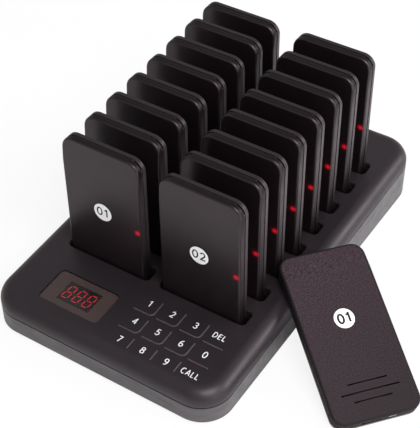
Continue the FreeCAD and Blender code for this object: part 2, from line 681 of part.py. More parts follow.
def seat_z(slot_y):
    return BOARD_HIGH + SLOPE * pager_mid_y(slot_y) + SEAT_GAP


def docked(shape, x, y):
    return place_pager(shape, V(x + SIDE_SEAT, pager_back_y(y), seat_z(y)), V(1, 0, 0), V(0, 0, 1))


# ---- loose pager ------------------------------------------------------------------------------
def loose_directions(lean):
    turn = math.radians(LOOSE_TURN)
    tilt = math.radians(lean)
    across = V(math.sin(turn), math.cos(turn), 0)
    up = V(-math.cos(turn) * math.cos(tilt), math.sin(turn) * math.cos(tilt), math.sin(tilt))
    return across, up


def loose_foot(lean):
    """Middle of the loose pager's lower back edge, on the counter."""
    across, up = loose_directions(lean)
    docked_side = COLUMNS[1] + SIDE_SEAT + PAGER_W / 2
    corner = V(docked_side + LOOSE_SIDE_GAP + PAGER_CORNER, FRONT_Y + LOOSE_CORNER_FRONT, 0)
    foot = corner - up * (PAGER_H - PAGER_CORNER) + across * (PAGER_W / 2 - PAGER_CORNER)
    foot.z = 0
    return foot


def rim_distance(lean):
    """How far the loose pager's left back edge passes from the rim's rounding."""
    across, up = loose_directions(lean)
    edge = loose_foot(lean) - across * (PAGER_W / 2)
    axis = V(0, COS, SLOPE * COS)
    centre = V(BASE_W / 2 - DECK_ROUND, 0, DECK_Z - DECK_ROUND / COS)
    side = up.cross(axis)
    side.normalize()
    return abs((edge - centre).dot(side)) - DECK_ROUND


def lean_angle():
    """Lean at which that edge rests just clear of the rim, by bisection."""
    low = 5.0
    high = 60.0
    for _ in range(50):
        mid = (low + high) / 2
        if rim_distance(mid) > REST_GAP:
            high = mid
        else:
            low = mid
    return high


def pager_bosses(low, high, r):
    """A rod on each of the loose pager's screw axes."""
    return [rod(r, high - low, x, y, low) for x, y in PAGER_SCREWS]


def loose_front_shell():
    shell = pager_front()
    ceiling = PAGER_T - PAGER_FACE_WALL
    cell = pager_core(PAGER_WALL, FRONT_SHELL_Z - 1, ceiling)
    shell = shell.cut(cell)
    bosses = pager_bosses(FRONT_SHELL_Z, ceiling + PAGER_FACE_WALL / 3, PAGER_BOSS_R)
    shell = union([shell] + bosses)
    bore_top = PAGER_SCREW_HEAD_H + PAGER_SCREW_L + 0.3
    cuts = pager_bosses(FRONT_SHELL_Z - 1, bore_top, PAGER_SCREW_R + SCREW_HOLE_CLEAR)
    for height, length in SOUND_SLOTS:
        cuts.append(plate(length, SOUND_SLOT_W, PAGER_T, SOUND_SLOT_W * 0.45, 0, height, ceiling - 1))
    for side in (-1, 1):
        cuts.append(pad_block(side, 0.1))
    return shell.cut(cuts)


def pad_block(side, grow):
    """Charging pad let into the lower wall of the front shell."""
    return Part.makeBox(PAD_W + 2 * grow, PAGER_WALL + 2 * grow, PAD_T + 2 * grow,
                        V(side * CONTACT_PITCH / 2 - PAD_W / 2 - grow, -grow,
                          FRONT_SHELL_Z + 0.2 - grow))


def loose_back_shell():
    shell = pager_back()
    cell = pager_core(PAGER_WALL + GROOVE_D + TONGUE_T, PAGER_BACK_WALL, FRONT_SHELL_Z + 1)
    shell = shell.cut(cell)
    bosses = pager_bosses(PAGER_BACK_WALL / 2, PAGER_BOARD_Z, PAGER_BOSS_R)
    shell = union([shell] + bosses)
    cuts = pager_bosses(-1, PAGER_SCREW_HEAD_H, PAGER_SCREW_HEAD_R + SCREW_HOLE_CLEAR)
    cuts += pager_bosses(-1, FRONT_SHELL_Z + 1, PAGER_SCREW_R + SCREW_HOLE_CLEAR)
    return shell.cut(cuts)


def loose_pager_parts():
    ceiling = PAGER_T - PAGER_FACE_WALL - 0.1
    inner_w = PAGER_W - 2 * CELL_INSET
    board = Part.makeBox(inner_w, PAGER_BOARD_L, PAGER_BOARD_T,
                         V(-inner_w / 2, CELL_INSET, PAGER_BOARD_Z))
    board = board.common(pager_core(CELL_INSET, 0, PAGER_T))
    board = board.cut(pager_bosses(0, PAGER_T, PAGER_BOSS_R + CELL_CLEAR))
    board_top = PAGER_BOARD_Z + PAGER_BOARD_T
    battery_y = PAGER_BOARD_END + BATTERY_GAP + BATTERY_L / 2
    battery = plate(BATTERY_W, BATTERY_L, ceiling - PAGER_BACK_WALL, BATTERY_CORNER, 0, battery_y,
                    PAGER_BACK_WALL)
    speaker = Part.makeCylinder(SPEAKER_R, ceiling - board_top, V(0, SPEAKER_Z, board_top))
    motor = Part.makeCylinder(MOTOR_R, ceiling - board_top, V(MOTOR_X, MOTOR_Z, board_top))
    pipe = Part.makeBox(PIPE_W, PIPE_H, ceiling - board_top,
                        V(PIPE_X - PIPE_W / 2, PIPE_Z - PIPE_H / 2, board_top))
    pads = [pad_block(side, 0) for side in (-1, 1)]
    screws = []
    for x, y in PAGER_SCREWS:
        screw = headed_screw(PAGER_SCREW_R, PAGER_SCREW_L, PAGER_SCREW_HEAD_R, PAGER_SCREW_HEAD_H)
        screw.translate(V(x, y, PAGER_SCREW_HEAD_H))
        screws.append(screw)
    return {
        "front_shell": loose_front_shell(),
        "back_shell": loose_back_shell(),
        "circuit_board": board,
        "battery": battery,
        "speaker": speaker,
        "vibration_motor": motor,
        "light_pipe": pipe,
        "charge_contacts": Part.makeCompound(pads),
        "screws": Part.makeCompound(screws),
    }


# ---- the files --------------------------------------------------------------------------------
save(top_shell(), "top_shell")
save(bottom_shell(), "bottom_shell")
save(rubber_feet(), "rubber_feet")
save(case_screws(), "case_screws")
save(display_window(), "display_window")
save(display_module(), "display_module")
save(main_board(), "main_board")
save(board_screws(), "board_screws")
save(touch_sensor_board(), "touch_sensor_board")
save(antenna(), "antenna")
save(buzzer(), "buzzer")
for side_name, column_x in zip(("left", "right"), COLUMNS):
    save(charging_board(column_x), "charging_board_" + side_name)
    save(pocket_tray(column_x), "pocket_tray_" + side_name)
save(charging_contacts(), "charging_contacts")
save(dc_inlet(), "dc_inlet")
save(switch_housing(), "power_switch_housing")
save(switch_rocker(), "power_switch_rocker")

front = pager_front()
back = pager_back()
for row, row_y in enumerate(ROW_YS):
    for column, column_x in enumerate(COLUMNS):
        number = "%02d" % (2 * row + column + 1)
        save(docked(front, column_x, row_y), "pager_%s_front_shell" % number)
        save(docked(back, column_x, row_y), "pager_%s_back_shell" % number)

lean = lean_angle()
loose_across, loose_up = loose_directions(lean)
for name, piece in loose_pager_parts().items():
    save(place_pager(piece, loose_foot(lean), loose_across, loose_up), "loose_pager_" + name)
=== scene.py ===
import bmesh
import bpy
import json
import math
from mathutils import Matrix, Vector

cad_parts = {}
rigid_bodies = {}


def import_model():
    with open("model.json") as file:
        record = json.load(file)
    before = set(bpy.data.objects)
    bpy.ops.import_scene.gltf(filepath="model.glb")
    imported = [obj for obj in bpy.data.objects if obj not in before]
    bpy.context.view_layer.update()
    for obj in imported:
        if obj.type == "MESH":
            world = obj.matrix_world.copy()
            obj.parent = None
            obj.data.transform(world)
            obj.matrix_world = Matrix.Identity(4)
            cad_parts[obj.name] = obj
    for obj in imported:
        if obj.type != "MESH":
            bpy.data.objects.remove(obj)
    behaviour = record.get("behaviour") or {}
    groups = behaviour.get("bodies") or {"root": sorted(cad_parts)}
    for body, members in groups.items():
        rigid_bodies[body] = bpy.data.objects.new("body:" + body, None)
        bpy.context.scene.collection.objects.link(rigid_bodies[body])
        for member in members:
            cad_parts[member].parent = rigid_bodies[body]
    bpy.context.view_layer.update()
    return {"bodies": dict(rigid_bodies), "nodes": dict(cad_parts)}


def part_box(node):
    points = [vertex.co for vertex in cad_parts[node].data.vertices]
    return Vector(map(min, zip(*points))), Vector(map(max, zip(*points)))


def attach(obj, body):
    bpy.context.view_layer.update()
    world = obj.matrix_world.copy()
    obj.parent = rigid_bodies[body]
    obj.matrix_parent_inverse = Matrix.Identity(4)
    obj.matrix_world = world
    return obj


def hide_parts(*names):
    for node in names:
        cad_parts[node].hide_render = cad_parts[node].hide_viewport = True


# Looks of the guest pager system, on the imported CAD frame. Metres, +X right, +Y back, +Z up.
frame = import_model()
nodes = frame["nodes"]
scene = bpy.context.scene

# ---- sizes shared with the CAD ----------------------------------------------------------------
DECK_ANGLE = math.radians(2.63)
DECK_Z, SEAM_Z = 0.0314, 0.0208        # deck and parting line, at the base's middle
GROOVE_H = 0.0008                      # shadow gap under the parting line
PAGER_W, PAGER_H, PAGER_R = 0.0545, 0.109, 0.008    # width, height, corner radius
LED_X, LED_Z = 0.0249, 0.058           # from the pager's middle, and above its bottom
WINDOW_L, WINDOW_R = 0.0255, 0.0028    # display window along the deck, and its corner radius
WINDOW_SUNK, WINDOW_T = 0.00015, 0.0012    # its top below the deck, and its thickness
MODULE_L = 0.0155                      # display module along the deck
KEY_X, KEY_Y = 0.0091, -0.1155         # first key of the front row
KEY_PITCH_X, KEY_PITCH_Y = 0.0163, 0.0156


# ---- camera -----------------------------------------------------------------------------------
FRAME_H = 428                          # photo's longer side, in pixels
FOCAL_PX = 1205.92
SENSOR_W = 36.0                        # millimetres, along that side
VIEW_AZ, VIEW_EL, VIEW_ROLL = 33.0596, 42.5494, -0.5432
CAMERA_AT = Vector((0.3082182, -0.4778144, 0.5521674))


def make_camera():
    """Camera at the photo's viewpoint, its lens set from the focal length in pixels."""
    az, el, roll = (math.radians(a) for a in (VIEW_AZ, VIEW_EL, VIEW_ROLL))
    back = Vector((math.sin(az) * math.cos(el), -math.cos(az) * math.cos(el), math.sin(el)))
    right = Vector((math.cos(az), math.sin(az), 0))
    up = back.cross(right)
    c, s = math.cos(roll), math.sin(roll)
    right, up = right * c + up * s, up * c - right * s
    turn = Matrix((right, up, back)).transposed().to_4x4()
    data = bpy.data.cameras.new("camera")
    data.sensor_fit = "AUTO"
    data.sensor_width = SENSOR_W
    data.lens = FOCAL_PX / FRAME_H * SENSOR_W
    data.clip_end = 20
    camera = bpy.data.objects.new("camera", data)
    camera.matrix_world = Matrix.Translation(CAMERA_AT) @ turn
    scene.collection.objects.link(camera)
    scene.camera = camera


make_camera()


# ---- materials --------------------------------------------------------------------------------
NOISE_RANGE = (0.3, 0.7)               # where most of a noise texture's values lie
WARM_TINT = (1.0, 0.84, 0.90)          # of the pagers' gloss


class Nodes:
    """Small helper round one material's node tree."""

    def __init__(self, name):
        self.material = bpy.data.materials.new(name)
        self.material.use_nodes = True
        self.tree = self.material.node_tree
        self.bsdf = self.tree.nodes["Principled BSDF"]
        self.output = self.tree.nodes["Material Output"]
        self.coords = self.add("ShaderNodeTexCoord").outputs["Object"]

    def add(self, kind, **values):
        node = self.tree.nodes.new(kind)
        for key, value in values.items():
            if hasattr(node, key):
                setattr(node, key, value)
            else:
                node.inputs[key.replace("_", " ")].default_value = value
        return node

    def link(self, a, b):
        self.tree.links.new(a, b)

    def noise(self, scale, detail=3.0, rough=0.5, stretch=None):
        node = self.add("ShaderNodeTexNoise", Scale=scale, Detail=detail, Roughness=rough)
        source = self.coords
        if stretch:
            mapping = self.add("ShaderNodeMapping")
            mapping.inputs["Scale"].default_value = stretch
            self.link(source, mapping.inputs["Vector"])
            source = mapping.outputs["Vector"]
        self.link(source, node.inputs["Vector"])
        return node.outputs["Fac"]

    def ramp(self, fac, low, high, a, b):
        """Maps fac from low..high to the values or colours a..b."""
        if isinstance(a, (int, float)):
            node = self.add("ShaderNodeMapRange")
            for key, value in (("From Min", low), ("From Max", high), ("To Min", a), ("To Max", b)):
                node.inputs[key].default_value = value
            self.link(fac, node.inputs["Value"])
            return node.outputs["Result"]
        node = self.add("ShaderNodeValToRGB")
        stops = node.color_ramp.elements
        stops[0].position, stops[1].position = low, high
        stops[0].color, stops[1].color = (*a, 1), (*b, 1)
        self.link(fac, node.inputs["Fac"])
        return node.outputs["Color"]

    def mottle(self, scale, a, b, detail=3.0, rough=0.5, stretch=None):
        """Wanders between the values or colours a and b."""
        return self.ramp(self.noise(scale, detail, rough, stretch), *NOISE_RANGE, a, b)

    def mix(self, fac, a, b):
        """Colour a where fac is 0, colour b where it is 1."""
        node = self.add("ShaderNodeMix", data_type="RGBA")
        self.link(fac, node.inputs["Factor"])
        self.link(a, node.inputs[6])
        self.link(b, node.inputs[7])
        return node.outputs[2]

    def bump(self, height, distance, strength=1.0, normal=None):
        node = self.add("ShaderNodeBump")
        node.inputs["Strength"].default_value = strength
        node.inputs["Distance"].default_value = distance
        self.link(height, node.inputs["Height"])
        if normal:
            self.link(normal, node.inputs["Normal"])
        return node.outputs["Normal"]

    def bevel(self, radius):
        node = self.add("ShaderNodeBevel")
        node.samples = 6
        node.inputs["Radius"].default_value = radius
        return node.outputs["Normal"]


def moulded(name, dark, light, rough=(0.38, 0.5), grain=1800, depth=0.00002, bevel=0.0,
            blotch=18, stretch=None, tint=(1.0, 0.88, 0.94), level=0.5):
    """Moulded plastic: slow colour drift, fine grain, and a roughness that wanders."""
    n = Nodes(name)
    n.colour = n.mottle(blotch, dark, light, 4, 0.6, stretch)
    n.link(n.colour, n.bsdf.inputs["Base Color"])
    n.link(n.mottle(blotch * 3, *rough, 3, 0.55), n.bsdf.inputs["Roughness"])
    base = n.bevel(bevel) if bevel else None
    normal = n.bump(n.noise(grain, 2, 0.6), depth, 0.6, base)
    n.link(normal, n.bsdf.inputs["Normal"])
    n.bsdf.inputs["Specular Tint"].default_value = (*tint, 1)
    n.bsdf.inputs["Specular IOR Level"].default_value = level
    return n


def above_counter(n):
    """Height square to the deck, measured from the base's middle."""
    height = n.add("ShaderNodeVectorMath", operation="DOT_PRODUCT")
    n.link(n.coords, height.inputs[0])
    height.inputs[1].default_value = (0, -math.sin(DECK_ANGLE), math.cos(DECK_ANGLE))
    return height.outputs["Value"]


def deck_plastic():
    """The deck's plastic, with a painted highlight: the ridges between the keys are coloured
    lighter.
    """
    n = moulded("deck_plastic", (0.0100, 0.0074, 0.0090), (0.0150, 0.0112, 0.0136), (0.40, 0.48),
                bevel=0.0003, level=0.47)
    deck = DECK_Z * math.cos(DECK_ANGLE)
    raised = n.ramp(above_counter(n), deck + 0.0001, deck + 0.0003, 0.0, 1.0)
    # painted highlight: a paler colour on the ridge tops
    ridge_highlight = n.mottle(300, (0.058, 0.045, 0.052), (0.078, 0.062, 0.070))
    n.link(n.mix(raised, n.colour, ridge_highlight), n.bsdf.inputs["Base Color"])
    return n.material


def metal(name, colour, rough=(0.25, 0.4)):
    """Bare metal with a faint drift in tone and polish."""
    n = Nodes(name)
    n.link(n.mottle(220, tuple(c * 0.8 for c in colour), colour), n.bsdf.inputs["Base Color"])
    n.link(n.mottle(900, *rough, 2), n.bsdf.inputs["Roughness"])
    n.bsdf.inputs["Metallic"].default_value = 1.0
    n.link(n.bump(n.noise(2500, 2), 0.00001, 0.5, n.bevel(0.0002)), n.bsdf.inputs["Normal"])
    return n.material


def circuit(name, dark, light):
    """Solder-masked board: fine tracks under a glossy mask."""
    n = Nodes(name)
    tracks = n.add("ShaderNodeTexBrick", Scale=260.0)
    n.link(n.coords, tracks.inputs["Vector"])
    tracks.inputs["Color1"].default_value = (*dark, 1)
    tracks.inputs["Color2"].default_value = (*light, 1)
    tracks.inputs["Mortar"].default_value = (*light, 1)
    tracks.inputs["Mortar Size"].default_value = 0.03
    n.link(tracks.outputs["Color"], n.bsdf.inputs["Base Color"])
    n.link(n.mottle(150, 0.25, 0.4), n.bsdf.inputs["Roughness"])
    n.link(n.bump(tracks.outputs["Fac"], 0.00002, 0.5), n.bsdf.inputs["Normal"])
    return n.material


def smoked_lens():
    """Clear tinted pane with a soft gloss."""
    n = Nodes("smoked_lens")
    clear = n.add("ShaderNodeBsdfTransparent")
    n.link(n.mottle(40, (0.86, 0.84, 0.84), (0.92, 0.90, 0.90), 2), clear.inputs["Color"])
    gloss = n.add("ShaderNodeBsdfGlossy")
    n.link(n.mottle(120, 0.20, 0.32), gloss.inputs["Roughness"])
    fresnel = n.add("ShaderNodeFresnel", IOR=1.3)
    n.link(n.bump(n.noise(900, 2), 0.000004, 0.5), gloss.inputs["Normal"])
    pane = n.add("ShaderNodeMixShader")
    n.link(fresnel.outputs[0], pane.inputs[0])
    n.link(clear.outputs[0], pane.inputs[1])
    n.link(gloss.outputs[0], pane.inputs[2])
    n.link(pane.outputs[0], n.output.inputs["Surface"])
    return n.material


def glowing(name, colour, strength):
    """Lit diode plastic, a little uneven."""
    n = Nodes(name)
    dimmer = tuple(c * 0.85 for c in colour)
    n.link(n.mottle(900, dimmer, colour, 2), n.bsdf.inputs["Emission Color"])
    n.bsdf.inputs["Base Color"].default_value = (*[c * 0.3 for c in colour], 1)
    n.bsdf.inputs["Emission Strength"].default_value = strength
    n.bsdf.inputs["Roughness"].default_value = 0.35
    return n.material


def printed(name, colour, rough=0.45, level=0.5):
    """Printed ink or paper with a faint mottle."""
    n = Nodes(name)
    n.link(n.mottle(1500, tuple(c * 0.9 for c in colour), colour), n.bsdf.inputs["Base Color"])
    n.link(n.mottle(700, rough - 0.08, rough + 0.08), n.bsdf.inputs["Roughness"])
    n.bsdf.inputs["Specular IOR Level"].default_value = level
    return n.material


def skirt_plastic():
    """The lower housing's plastic: finely streaked, with painted shade, a near-black colour, inside
    the shadow gap.
    """
    n = moulded("skirt_plastic", (0.046, 0.041, 0.045), (0.082, 0.073, 0.080), (0.36, 0.5),
                bevel=0.0002, blotch=40, stretch=(1, 1, 7), tint=(1, 0.97, 1))
    groove = (SEAM_Z - GROOVE_H) * math.cos(DECK_ANGLE)
    inside = n.ramp(above_counter(n), groove - 0.0001, groove + 0.00005, 0.0, 1.0)
    # painted shade: near-black colour inside the groove under the parting line
    groove_shade = n.mottle(400, (0.002, 0.002, 0.002), (0.005, 0.004, 0.005))
    n.link(n.mix(inside, n.colour, groove_shade), n.bsdf.inputs["Base Color"])
    return n.material


def wall_plastic(name, dull, bright, level, painted_light_by_height):
    """Pager side wall: matt, and painted paler than the face as painted light, by amounts that
    change along its height. The fifth argument lists height shares and the painted lightness at
    each.
    """
    n = moulded(name, dull, bright, (0.36, 0.48), 2200, 0.000012, blotch=60, tint=WARM_TINT,
                level=level)
    split = n.add("ShaderNodeSeparateXYZ")
    n.link(n.coords, split.inputs[0])
    tone = n.add("ShaderNodeValToRGB")
    stops = tone.color_ramp.elements
    while len(stops) < len(painted_light_by_height):
        stops.new(0.5)
    for stop, (share, lightness) in zip(stops, painted_light_by_height):
        stop.position, stop.color = share, (lightness, lightness, lightness, 1)
    n.link(n.ramp(split.outputs["Z"], 0.0, PAGER_H, 0.0, 1.0), tone.inputs["Fac"])
    # painted light: the paler wall colour is blended in by height; this dark colour holds where the
    # painted lightness is 0
    dark_wall_colour = n.mottle(90, (0.005, 0.0035, 0.004), (0.008, 0.006, 0.007))
    n.link(n.mix(tone.outputs["Color"], dark_wall_colour, n.colour), n.bsdf.inputs["Base Color"])
    return n.material


HALO_R, HALO_SHARE = 0.007, 0.10       # reach of the diode's faint halo, and its share of the glow
CORE_FROM, CORE_TO = 0.0003, 0.0023    # its bright core fades between these distances


def pager_plastic(name, rough, grain, depth, glow=0.0):
    """Pager shell: near-black satin, with the diode's glow on the faces that look out."""
    n = moulded(name, (0.0045, 0.0028, 0.0034), (0.0075, 0.0048, 0.0058), rough, grain, depth,
                tint=WARM_TINT)
    if not glow:
        return n.material
    local = n.add("ShaderNodeVectorTransform", vector_type="NORMAL", convert_from="WORLD",
                  convert_to="OBJECT")
    n.link(n.add("ShaderNodeNewGeometry").outputs["Normal"], local.inputs[0])
    parts = n.add("ShaderNodeSeparateXYZ")
    n.link(local.outputs[0], parts.inputs[0])
    split = n.add("ShaderNodeSeparateXYZ")
    n.link(n.coords, split.inputs[0])
    flat = n.add("ShaderNodeCombineXYZ")
    n.link(split.outputs["X"], flat.inputs["X"])
    n.link(split.outputs["Z"], flat.inputs["Z"])
    away = n.add("ShaderNodeVectorMath", operation="DISTANCE")
    n.link(flat.outputs[0], away.inputs[0])
    away.inputs[1].default_value = (LED_X, 0, LED_Z)
    halo = n.ramp(away.outputs["Value"], 0.0, HALO_R, 1.0, 0.0)
    spread = n.add("ShaderNodeMath", operation="POWER")
    n.link(halo, spread.inputs[0])
    spread.inputs[1].default_value = 3.0
    core = n.ramp(away.outputs["Value"], CORE_FROM, CORE_TO, glow, 0.0)
    both = n.add("ShaderNodeMath", operation="MULTIPLY_ADD")
    n.link(spread.outputs[0], both.inputs[0])
    both.inputs[1].default_value = HALO_SHARE * glow
    n.link(core, both.inputs[2])
    frontal = n.ramp(parts.outputs["Y"], -0.8, -0.5, 1.0, 0.0)
    on_face = n.add("ShaderNodeMath", operation="MULTIPLY")
    n.link(both.outputs[0], on_face.inputs[0])
    n.link(frontal, on_face.inputs[1])
    n.link(on_face.outputs[0], n.bsdf.inputs["Emission Strength"])
    n.bsdf.inputs["Emission Color"].default_value = (0.70, 0.004, 0.018, 1)
    return n.material


RIM_FROM, RIM_TO = 0.0060, 0.0068      # painted shade along the rim: its distance from the box inside the corner arcs


def textured_plastic(name, colour, rough):
    """Spark-eroded texture, painted lighter toward the pager's upper end and darker toward its
    lower end as painted light, and painted shade along its rim.
    """
    def scaled(k):
        return tuple(c * k for c in colour)

    n = moulded(name, colour, colour, rough, 900, 0.00008, tint=WARM_TINT, level=0.4)
    speckle = n.noise(1100, 2, 0.6)
    # painted light: the colour is lighter toward the pager's upper end and darker toward its lower
    # end
    lower = n.ramp(speckle, 0.40, 0.60, scaled(0.0), scaled(0.5))
    upper = n.ramp(speckle, 0.40, 0.60, scaled(0.7), scaled(3.1))
    along = n.add("ShaderNodeVectorMath", operation="DOT_PRODUCT")
    n.link(n.coords, along.inputs[0])
    along.inputs[1].default_value = (-0.35, 0, 0.94)
    face = n.mix(n.ramp(along.outputs["Value"], 0.0, 0.10, 0.0, 1.0), lower, upper)
    spot = n.coords
    inner = (PAGER_W / 2 - PAGER_R, 0, PAGER_H / 2 - PAGER_R)
    for operation, value in (("SUBTRACT", (0, 0, PAGER_H / 2)), ("MULTIPLY", (1, 0, 1)),
                             ("ABSOLUTE", None), ("SUBTRACT", inner),
                             ("MAXIMUM", (0, 0, 0)), ("LENGTH", None)):
        step = n.add("ShaderNodeVectorMath", operation=operation)
        n.link(spot, step.inputs[0])
        if value:
            step.inputs[1].default_value = value
        spot = step.outputs["Value" if operation == "LENGTH" else "Vector"]
    # painted shade: near-black colour along the rim
    rim_shade = n.mottle(500, (0.002, 0.001, 0.0015), (0.004, 0.002, 0.003))
    rim = n.ramp(spot, RIM_FROM, RIM_TO, 0.0, 1.0)
    n.link(n.mix(rim, face, rim_shade), n.bsdf.inputs["Base Color"])
    n.link(n.ramp(rim, 0.0, 1.0, sum(rough) / 2, 0.75), n.bsdf.inputs["Roughness"])
    return n.material


MATERIALS = {
    "deck": deck_plastic(),
    "skirt": skirt_plastic(),
    "rubber": moulded("foot_rubber", (0.012, 0.012, 0.012), (0.022, 0.022, 0.022), (0.7, 0.85),
                      grain=1200, bevel=0.0003).material,
    "black": moulded("black_plastic", (0.008, 0.008, 0.008), (0.014, 0.013, 0.013), (0.35, 0.5),
                     bevel=0.0002).material,
    "tray": moulded("tray_plastic", (0.010, 0.010, 0.010), (0.016, 0.015, 0.015), (0.5, 0.65),
                    bevel=0.0002).material,
    "rocker": moulded("rocker_plastic", (0.012, 0.011, 0.011), (0.018, 0.017, 0.017), (0.3, 0.4),
                      bevel=0.0003).material,
    "module": moulded("display_body", (0.006, 0.011, 0.010), (0.009, 0.015, 0.014), (0.4, 0.55),
                      bevel=0.0002).material,
    "foil": moulded("battery_foil", (0.35, 0.36, 0.38), (0.45, 0.46, 0.48), (0.3, 0.45),
                    grain=500, depth=0.0001).material,
    "board": circuit("circuit_board", (0.012, 0.09, 0.035), (0.02, 0.14, 0.055)),
    "steel": metal("screw_steel", (0.62, 0.62, 0.63)),
    "brass": metal("contact_brass", (0.80, 0.60, 0.30)),
    "lens": smoked_lens(),
    "film": printed("display_film", (0.087, 0.059, 0.056), 0.5),
    "segment": glowing("lit_segment", (0.50, 0.016, 0.03), 1.0),
    "diode": glowing("lit_diode", (0.75, 0.02, 0.06), 1.0),
    "pager_front": pager_plastic("pager_front_plastic", (0.30, 0.36), 2200, 0.000012, 0.8),
    "pager_back": pager_plastic("pager_back_plastic", (0.30, 0.38), 2200, 0.000012),
    # The pagers' side walls are painted paler as painted light, rising and falling along the
    # height.
    "wall_front": wall_plastic(
        "pager_front_wall", (0.046, 0.037, 0.039), (0.064, 0.052, 0.055), 0.15,
        ((0.28, 0.0), (0.46, 0.45), (0.72, 0.8), (0.80, 0.55), (0.93, 0.0))),
    "wall_back": wall_plastic(
        "pager_back_wall", (0.048, 0.039, 0.041), (0.064, 0.052, 0.054), 0.30,
        ((0.26, 0.0), (0.44, 0.6), (0.68, 0.9), (0.88, 0.8), (0.99, 0.2))),
    "loose_front": textured_plastic("loose_front_plastic", (0.016, 0.0095, 0.013), (0.42, 0.52)),
    "loose_back": pager_plastic("loose_back_plastic", (0.40, 0.48), 1300, 0.00003),
    "loose_board": circuit("loose_circuit_board", (0.006, 0.007, 0.007), (0.012, 0.014, 0.014)),
    "nickel": metal("contact_nickel", (0.30, 0.27, 0.24)),
    "white_print": printed("white_print", (0.80, 0.80, 0.80)),
    "sticker": printed("sticker_paper", (0.84, 0.84, 0.84), 0.4),
    "ink": printed("sticker_ink", (0.008, 0.008, 0.009), 0.7, 0.15),
}

NODE_LOOKS = {
    "top_shell": "deck", "bottom_shell": "skirt", "rubber_feet": "rubber", "case_screws": "steel",
    "display_window": "lens", "display_module": "module", "main_board": "board",
    "board_screws": "steel", "touch_sensor_board": "board", "antenna": "brass", "buzzer": "black",
    "charging_board_left": "board", "charging_board_right": "board", "pocket_tray_left": "tray",
    "pocket_tray_right": "tray", "charging_contacts": "brass", "dc_inlet": "black",
    "power_switch_housing": "black", "power_switch_rocker": "rocker",
    "loose_pager_back_shell": "loose_back", "loose_pager_front_shell": "loose_front",
    "loose_pager_circuit_board": "loose_board", "loose_pager_battery": "foil",
    "loose_pager_speaker": "black", "loose_pager_vibration_motor": "steel",
    "loose_pager_light_pipe": "diode", "loose_pager_charge_contacts": "nickel",
    "loose_pager_screws": "steel",
}


UPRIGHT_FACE = 0.5                     # side faces have less of their normal along Z or Y


def paint(obj, look):
    obj.data.materials.clear()
    obj.data.materials.append(MATERIALS[look])


for name, obj in nodes.items():
    docked_look = "pager_front" if name.endswith("front_shell") else "pager_back"
    paint(obj, NODE_LOOKS.get(name, docked_look))

pane = nodes["display_window"].data    # the lens's upright side faces are painted black
pane.materials.append(MATERIALS["black"])
for face in pane.polygons:
    face.material_index = 1 if abs(face.normal.z) < UPRIGHT_FACE else 0


# ---- pagers -----------------------------------------------------------------------------------
def pager_frame(body):
    """Place of a pager: its face's bottom middle, X across, Z up its length, -Y out of the face."""
    mesh = nodes[body + "_front_shell"].data
    low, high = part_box(body + "_back_shell")
    out = max(mesh.polygons, key=lambda p: p.area).normal.copy()
    middle = sum((v.co for v in mesh.vertices), Vector()) / len(mesh.vertices)
    if out.dot(middle - (low + high) / 2) < 0:
        out.negate()
    across = Vector((0, 0, 1)).cross(out).normalized()
    up = out.cross(across)
    spans = []
    for axis in (across, up, out):
        along = [v.co.dot(axis) for v in mesh.vertices]
        spans.append((min(along), max(along)))
    place = across * (sum(spans[0]) / 2) + up * spans[1][0] + out * spans[2][1]
    turn = Matrix((across, -out, up)).transposed().to_4x4()
    return Matrix.Translation(place) @ turn


def add_object(name, mesh, place, body, parent=None):
    """Object at a place of the world, riding its body or set on a piece that does."""
    obj = bpy.data.objects.new(name, mesh)
    scene.collection.objects.link(obj)
    obj.matrix_world = place
    if parent:
        bpy.context.view_layer.update()
        obj.parent = parent
        obj.matrix_parent_inverse = parent.matrix_world.inverted()
        obj.matrix_world = place
    else:
        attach(obj, body)
    return obj


def rim_depth(x, z):
    """How far inside the pager's rounded outline a point of its own frame lies."""
    a, b = PAGER_W / 2 - abs(x), min(z, PAGER_H - z)
    if a < PAGER_R and b < PAGER_R:
        return PAGER_R - math.hypot(PAGER_R - a, PAGER_R - b)
    return min(a, b)


WELD = 0.000004                        # vertices nearer than this are one
FLAT, CREASE = math.radians(0.5), math.radians(25)
RIM_BAND = 0.001                       # edges this near the outline are softened
PAD_X, PAD_REACH, PAD_TOP = 0.008, 0.004, 0.0015    # charging pads at the foot keep sharp edges


def welded(node, place, name, look, wall=None):
    """Copy of a CAD node's mesh in the pager's own frame, faces joined up and rims marked."""
    mesh = nodes[node].data.copy()
    mesh.name = name
    mesh.transform(place.inverted())
    mesh.materials.clear()
    for each in (look, wall):
        if each:
            mesh.materials.append(MATERIALS[each])
    bm = bmesh.new()
    bm.from_mesh(mesh)
    bmesh.ops.remove_doubles(bm, verts=bm.verts, dist=WELD)
    bmesh.ops.dissolve_limit(bm, angle_limit=FLAT, verts=bm.verts, edges=bm.edges)
    weight = bm.edges.layers.float.new("bevel_weight_edge")
    for f in bm.faces:
        f.smooth = True
        # side faces take the wall material, which is painted paler as painted light
        f.material_index = 1 if wall and abs(f.normal.y) < UPRIGHT_FACE else 0
    for e in bm.edges:
        if len(e.link_faces) != 2 or e.calc_face_angle(0) < CREASE:
            continue
        e.smooth = False
        mid = (e.verts[0].co + e.verts[1].co) / 2
        pad = mid.z < PAD_TOP and abs(abs(mid.x) - PAD_X) < PAD_REACH
        if rim_depth(mid.x, mid.z) < RIM_BAND and not pad:
            e[weight] = 1.0
    bm.to_mesh(mesh)
    bm.free()
    return mesh


def soften(obj, width):
    """Rounds the rims that welded marked."""
    bevel = obj.modifiers.new("soft_edges", "BEVEL")
    bevel.width = width
    bevel.segments = 3
    bevel.limit_method = "WEIGHT"
    bevel.use_clamp_overlap = True
    bevel.harden_normals = True


def closed_mesh(bm, name, look):
    """Mesh of a closed bmesh, its normals turned outward."""
    bmesh.ops.recalc_face_normals(bm, faces=bm.faces)
    mesh = bpy.data.meshes.new(name)
    bm.to_mesh(mesh)
    bm.free()
    mesh.materials.append(MATERIALS[look])
    return mesh


